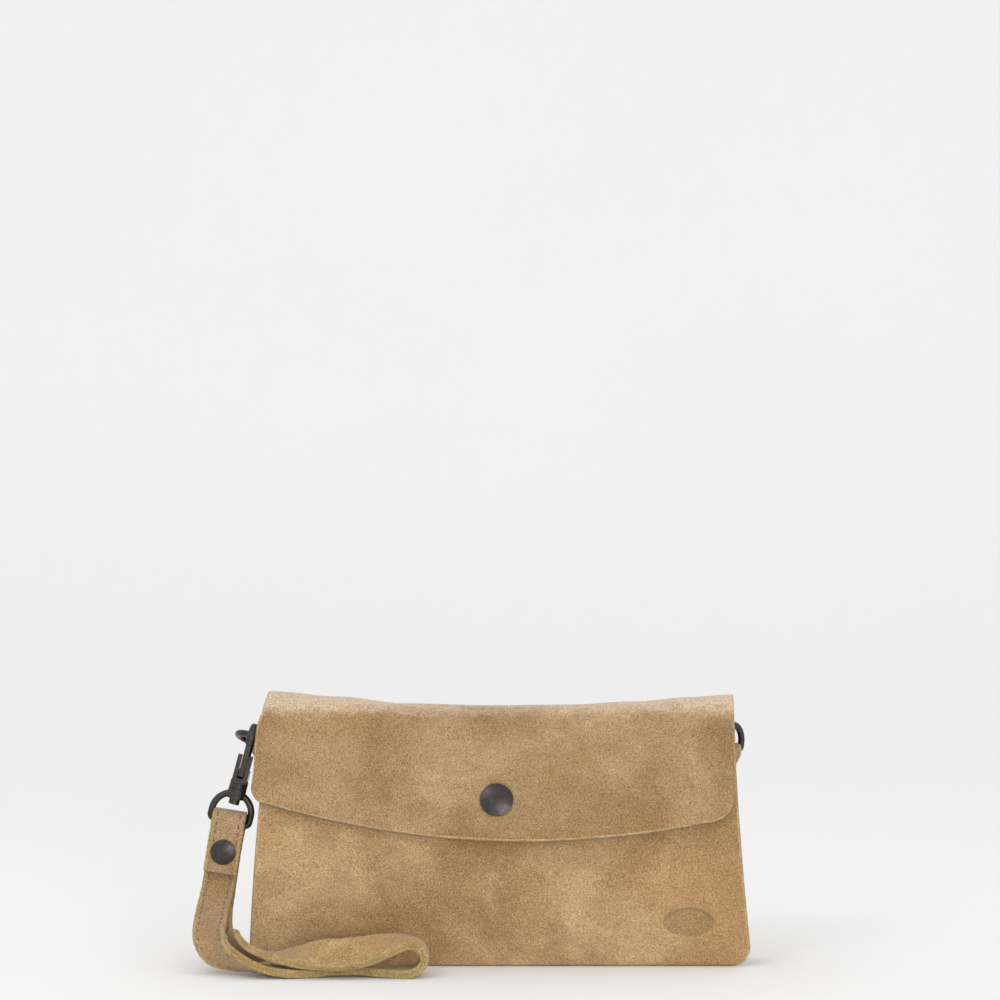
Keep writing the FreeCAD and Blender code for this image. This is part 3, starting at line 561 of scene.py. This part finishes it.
def strap_stations():
    """The wrist loop from the snap, down the front, round on the floor and up behind."""
    front_mid = EYE_BAR + STRAP_DOWN * 24
    stations = [
        (EYE_BAR + STRAP_DOWN * 2.6, STRAP_ACROSS), (front_mid, STRAP_ACROSS),
        (V(-125.6, -8.2, 32.3), V(1, 0, 0)), (V(-126.8, -14.2, 26.0), V(1, 0, 0)),
        (V(-127.4, -21.2, 20.8), V(1, 0, 0)), (V(-127.2, -28.4, 16.6), V(0.97, -0.1, 0.2)),
        (V(-124.6, -34.6, 12.4), V(0.88, -0.35, 0.3)), (V(-118.8, -38.4, 8.6), V(0.6, -0.7, 0.38)),
        (V(-110.0, -39.8, 5.4), V(0.25, -0.92, 0.3)), (V(-99.5, -39.6, 2.9), V(0.05, -1, 0.1)),
        (V(-86.0, -37.6, 2.0), V(0, -1, 0)), (V(-73.0, -34.6, 2.6), V(0, -1, 0)),
        (V(-60.0, -34.4, 2.7), V(0, -1, 0)), (V(-48.5, -37.0, 2.1), V(0, -1, 0)),
        (V(-39.8, -38.5, 2.0), V(0, -1, 0)), (V(-34.8, -38.5, 4.0), V(0, -1, 0)),
        (V(-32.6, -38.5, 8.5), V(0, -1, 0)), (V(-34.8, -38.5, 13.0), V(0, -1, 0)),
        (V(-40.5, -38.9, 15.0), V(0, -1, -0.08)), (V(-49.0, -40.6, 14.0), V(0, -0.9, -0.4)),
        (V(-58.0, -42.6, 11.8), V(0, -0.74, -0.68)), (V(-68.0, -43.4, 10.4), V(0, -0.64, -0.78)),
        (V(-78.0, -42.4, 10.0), V(0, -0.72, -0.68)), (V(-88.0, -40.2, 9.0), V(0, -0.93, -0.3)),
        (V(-97.5, -38.2, 8.9), V(0, -1, 0.05)), (V(-105.4, -35.4, 9.6), V(0.1, -0.95, 0.3)),
        (V(-112.4, -31.2, 10.4), V(0.45, -0.75, 0.5)), (V(-118.4, -26.6, 11.8), V(0.78, -0.4, 0.45)),
        (V(-123.2, -22.2, 13.0), V(0.95, -0.15, 0.2)), (V(-125.4, -15.6, 18.2), V(1, 0, 0)),
        (V(-126.0, -9.0, 24.4), V(1, 0, 0)), (V(-125.4, -3.6, 31.6), V(1, 0, 0)),
        (front_mid + V(0, LEG, 0), STRAP_ACROSS), (EYE_BAR + STRAP_DOWN * 6.3 + V(0, LEG, 0), STRAP_ACROSS)]
    centres = [s[0] for s in stations]
    widths = []
    for k, (_, width) in enumerate(stations):
        along = (centres[min(k + 1, len(centres) - 1)] - centres[max(k - 1, 0)]).normalized()
        widths.append((width - along * width.dot(along)).normalized())
    return centres, widths


def strap():
    centres, widths = strap_stations()
    frames = band_frames(centres, widths, 0.8)
    loop = band("wrist_strap", frames, HALF_W, BAND / 2, [STRAP_FACE, STRAP_RAW, STRAP_NAP],
                napped=(118, 245))
    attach(loop, "strap")
    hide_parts("strap_outer_layer", "strap_inner_layer")
    rows = stitches("strap_stitches", frames, HALF_W - STITCH_INSET, BAND / 2 - 0.05,
                    (-1, 1), 22, 104)
    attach(rows, "strap")


def strap_end():
    """The strap's end: up behind, over the eye's bar, and down in front under the snap."""
    path = [V(0, LEG, -6), V(0, LEG, -3)]
    path += [V(0, LEG * cos(a), LEG * sin(a)) for a in (k * pi / 10 for k in range(11))]
    path += [V(0, -LEG - 0.1 * k, -TAB_LENGTH * k / 6) for k in range(1, 7)]
    centres = [EYE_BAR + V(0, p.y, 0) - STRAP_DOWN * p.z for p in path]
    frames = band_frames(centres, [STRAP_ACROSS] * len(centres), 0.6)
    piece = band("strap_end", frames, HALF_W + 0.2, BAND / 2, [STRAP_FACE, STRAP_RAW])
    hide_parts("strap_fold", "strap_tab")
    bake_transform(piece)
    front_frames = [f for f in frames if f[0].y < EYE_BAR.y - 3]
    rows = stitches("tab_stitches", front_frames, HALF_W - TAB_STITCH_INSET, BAND / 2 + 0.02,
                    (1, -1), 0, 33)
    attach(rows, "strap_tab")


def ring_tab(side):
    """Leather folded round a ring's bar, both legs sewn to the gusset."""
    sign = -1 if side == "left" else 1
    bar_dir = V(sign * sin(RING_YAW), cos(RING_YAW), 0)
    inward = V(-sign * cos(RING_YAW), sin(RING_YAW), 0)
    turn, depth = 2.45, {"left": 6.6, "right": 5.9}[side]
    path = [(depth - 1.6, -19), (depth - 2.4, -13), (1.0, -6.5), (-1.8, -2.2)]
    path += [(-turn * cos(a), turn * sin(a)) for a in (k * pi / 6 for k in range(1, 6))]
    path += [(turn, -1.0), (2.9, -5.5), (depth - 1.4, -11), (depth - 0.2, -16)]
    centres = [RING_BARS[side] + inward * s + V(0, 0, z) for s, z in path]
    frames = band_frames(centres, [bar_dir] * len(centres), 0.8)
    piece = band("tab_for_ring_" + side, frames, RING_TAB_HALF, 0.8, [STRAP_FACE, SUEDE_EDGE],
                 layers=1, fuzz=0.15)
    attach(piece, "pouch")
    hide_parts("ring_tab_" + side)


# ---- CAD nodes that keep their shape ----
KEPT = {SUEDE: ("gusset_left", "gusset_right"),
        LINING: ("front_lining", "back_lining", "pocket_wall_front", "pocket_wall_rear", "card_slot_rear",
                 "card_slot_front"),
        TAPE: ("zip_tape_front", "zip_tape_rear"),
        BRASS: ("zip_coil_front", "zip_coil_rear", "zip_end_stops", "zip_slider", "zip_pull"),
        GUNMETAL: ("snap_cap", "left_d_ring", "right_d_ring", "hook_body", "hook_gate", "gate_pin",
                   "swivel_rivet", "swivel_eye", "tab_snap_cap"),
        STEEL: ("snap_socket", "snap_stud", "snap_post", "tab_snap_socket", "strap_snap_stud",
                "strap_snap_post", "gate_spring")}


def dress_cad():
    for mat, names in KEPT.items():
        for name in names:
            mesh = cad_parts[name].data
            mesh.materials.clear()
            mesh.materials.append(mat)


# ---- floor, light and camera ----
def stage():
    mat, tree, shader = material("pale_floor", Roughness=0.9)
    tint = blend_colour(tree, cloud(tree, place(tree), 3), (0.925, 0.925, 0.925, 1), (0.94, 0.94, 0.94, 1))
    tree.links.new(tint, shader.inputs["Base Color"])
    profile = [V(0, -4000, 0), V(0, 1500, 0)]
    profile += [V(0, 1500 + 900 * sin(a), 900 - 900 * cos(a)) for a in (k * pi / 24 for k in range(1, 13))]
    profile.append(V(0, 2400, 5000))
    points = [p + V(x, 0, 0) for p in profile for x in (-5000, 5000)]
    faces = [(2 * k, 2 * k + 1, 2 * k + 3, 2 * k + 2) for k in range(len(profile) - 1)]
    mesh = bpy.data.meshes.new("floor")
    mesh.from_pydata([p * MM for p in points], [], faces)
    mesh.materials.append(mat)
    mesh.polygons.foreach_set("use_smooth", [True] * len(faces))
    floor = bpy.data.objects.new("floor", mesh)
    bpy.context.collection.objects.link(floor)


def area_light(name, place_at, aim, size, power):
    data = bpy.data.lights.new(name, "AREA")
    data.size, data.energy = size, power
    lamp = bpy.data.objects.new(name, data)
    lamp.location = place_at
    lamp.rotation_euler = (Vector(aim) - Vector(place_at)).to_track_quat("-Z", "Y").to_euler()
    bpy.context.collection.objects.link(lamp)


def studio():
    world = bpy.data.worlds.new("studio")
    world.use_nodes = True
    back = world.node_tree.nodes["Background"]
    back.inputs["Color"].default_value = (1, 1, 1, 1)
    back.inputs["Strength"].default_value = 0.91
    bpy.context.scene.world = world
    bpy.context.scene.view_settings.view_transform = "Standard"
    area_light("key", (-0.6, -1.0, 1.1), (0, 0, 0.05), 0.35, 2.4)
    area_light("fill", (0.4, -1.6, 0.25), (0, 0, 0.05), 0.5, 6.0)


def camera():
    reach = VIEW_DISTANCE / cos(radians(9.03))
    data = bpy.data.cameras.new("camera")
    data.sensor_width = 36
    data.lens = 36 * VIEW_DISTANCE / 0.4425
    data.clip_end = 50
    cam = bpy.data.objects.new("camera", data)
    cam.location = (0, -BASE_HALF * MM - reach * cos(VIEW_DOWN), reach * sin(VIEW_DOWN))
    cam.rotation_euler = (radians(90 - 0.47), 0, 0)
    bpy.context.collection.objects.link(cam)
    bpy.context.scene.camera = cam


hide()
front()
strap()
strap_end()
ring_tab("left")
ring_tab("right")
dress_cad()
stage()
studio()
camera()
